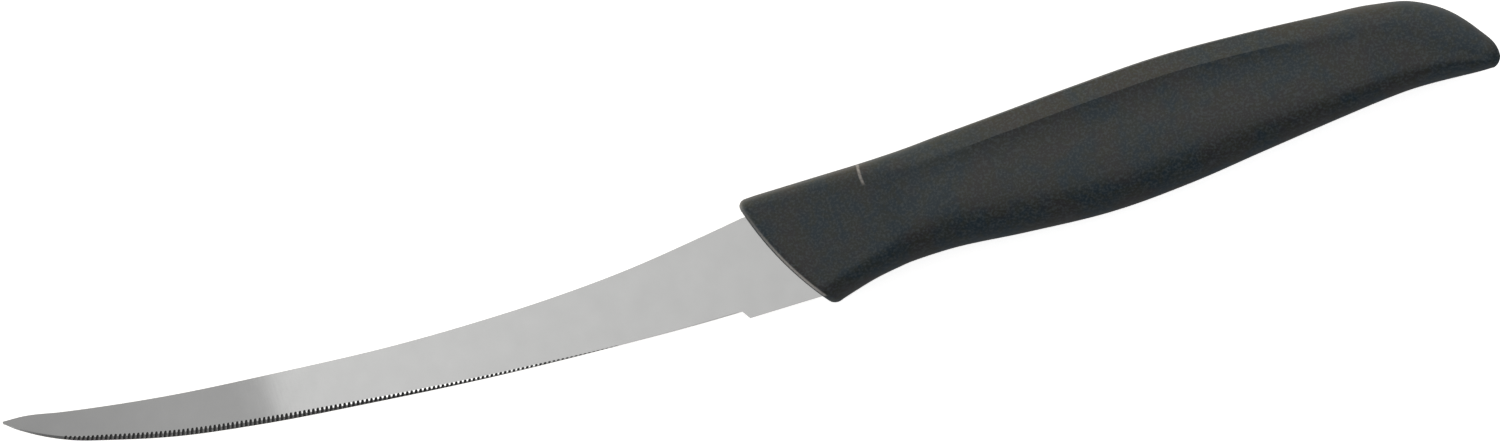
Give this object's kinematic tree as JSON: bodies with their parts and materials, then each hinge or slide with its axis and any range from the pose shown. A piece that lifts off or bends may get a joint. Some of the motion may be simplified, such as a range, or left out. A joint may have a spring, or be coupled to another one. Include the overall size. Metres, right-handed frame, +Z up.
{
  "type": "tomato knife",
  "caption": "Tomato knife with an upswept pointed blade, a finely serrated edge ground on one side, and a moulded plastic handle with a swelling grip.",
  "frame": {"origin": "middle of the flat cheek behind the handle's front, on the table, with the handle's axis at Y zero", "axes": "+X from the blade's tip to the handle's butt, +Y from the cutting edge to the spine, +Z up from the table through the handle's thickness"},
  "size_m": [0.2399, 0.0223, 0.0134],
  "materials": {
    "blade": "satin stainless steel, ground",
    "handle": "black moulded polypropylene with a fine grain"
  },
  "bodies": {
    "root": {"blade": "blade", "handle": "handle"}
  },
  "joints": []
}
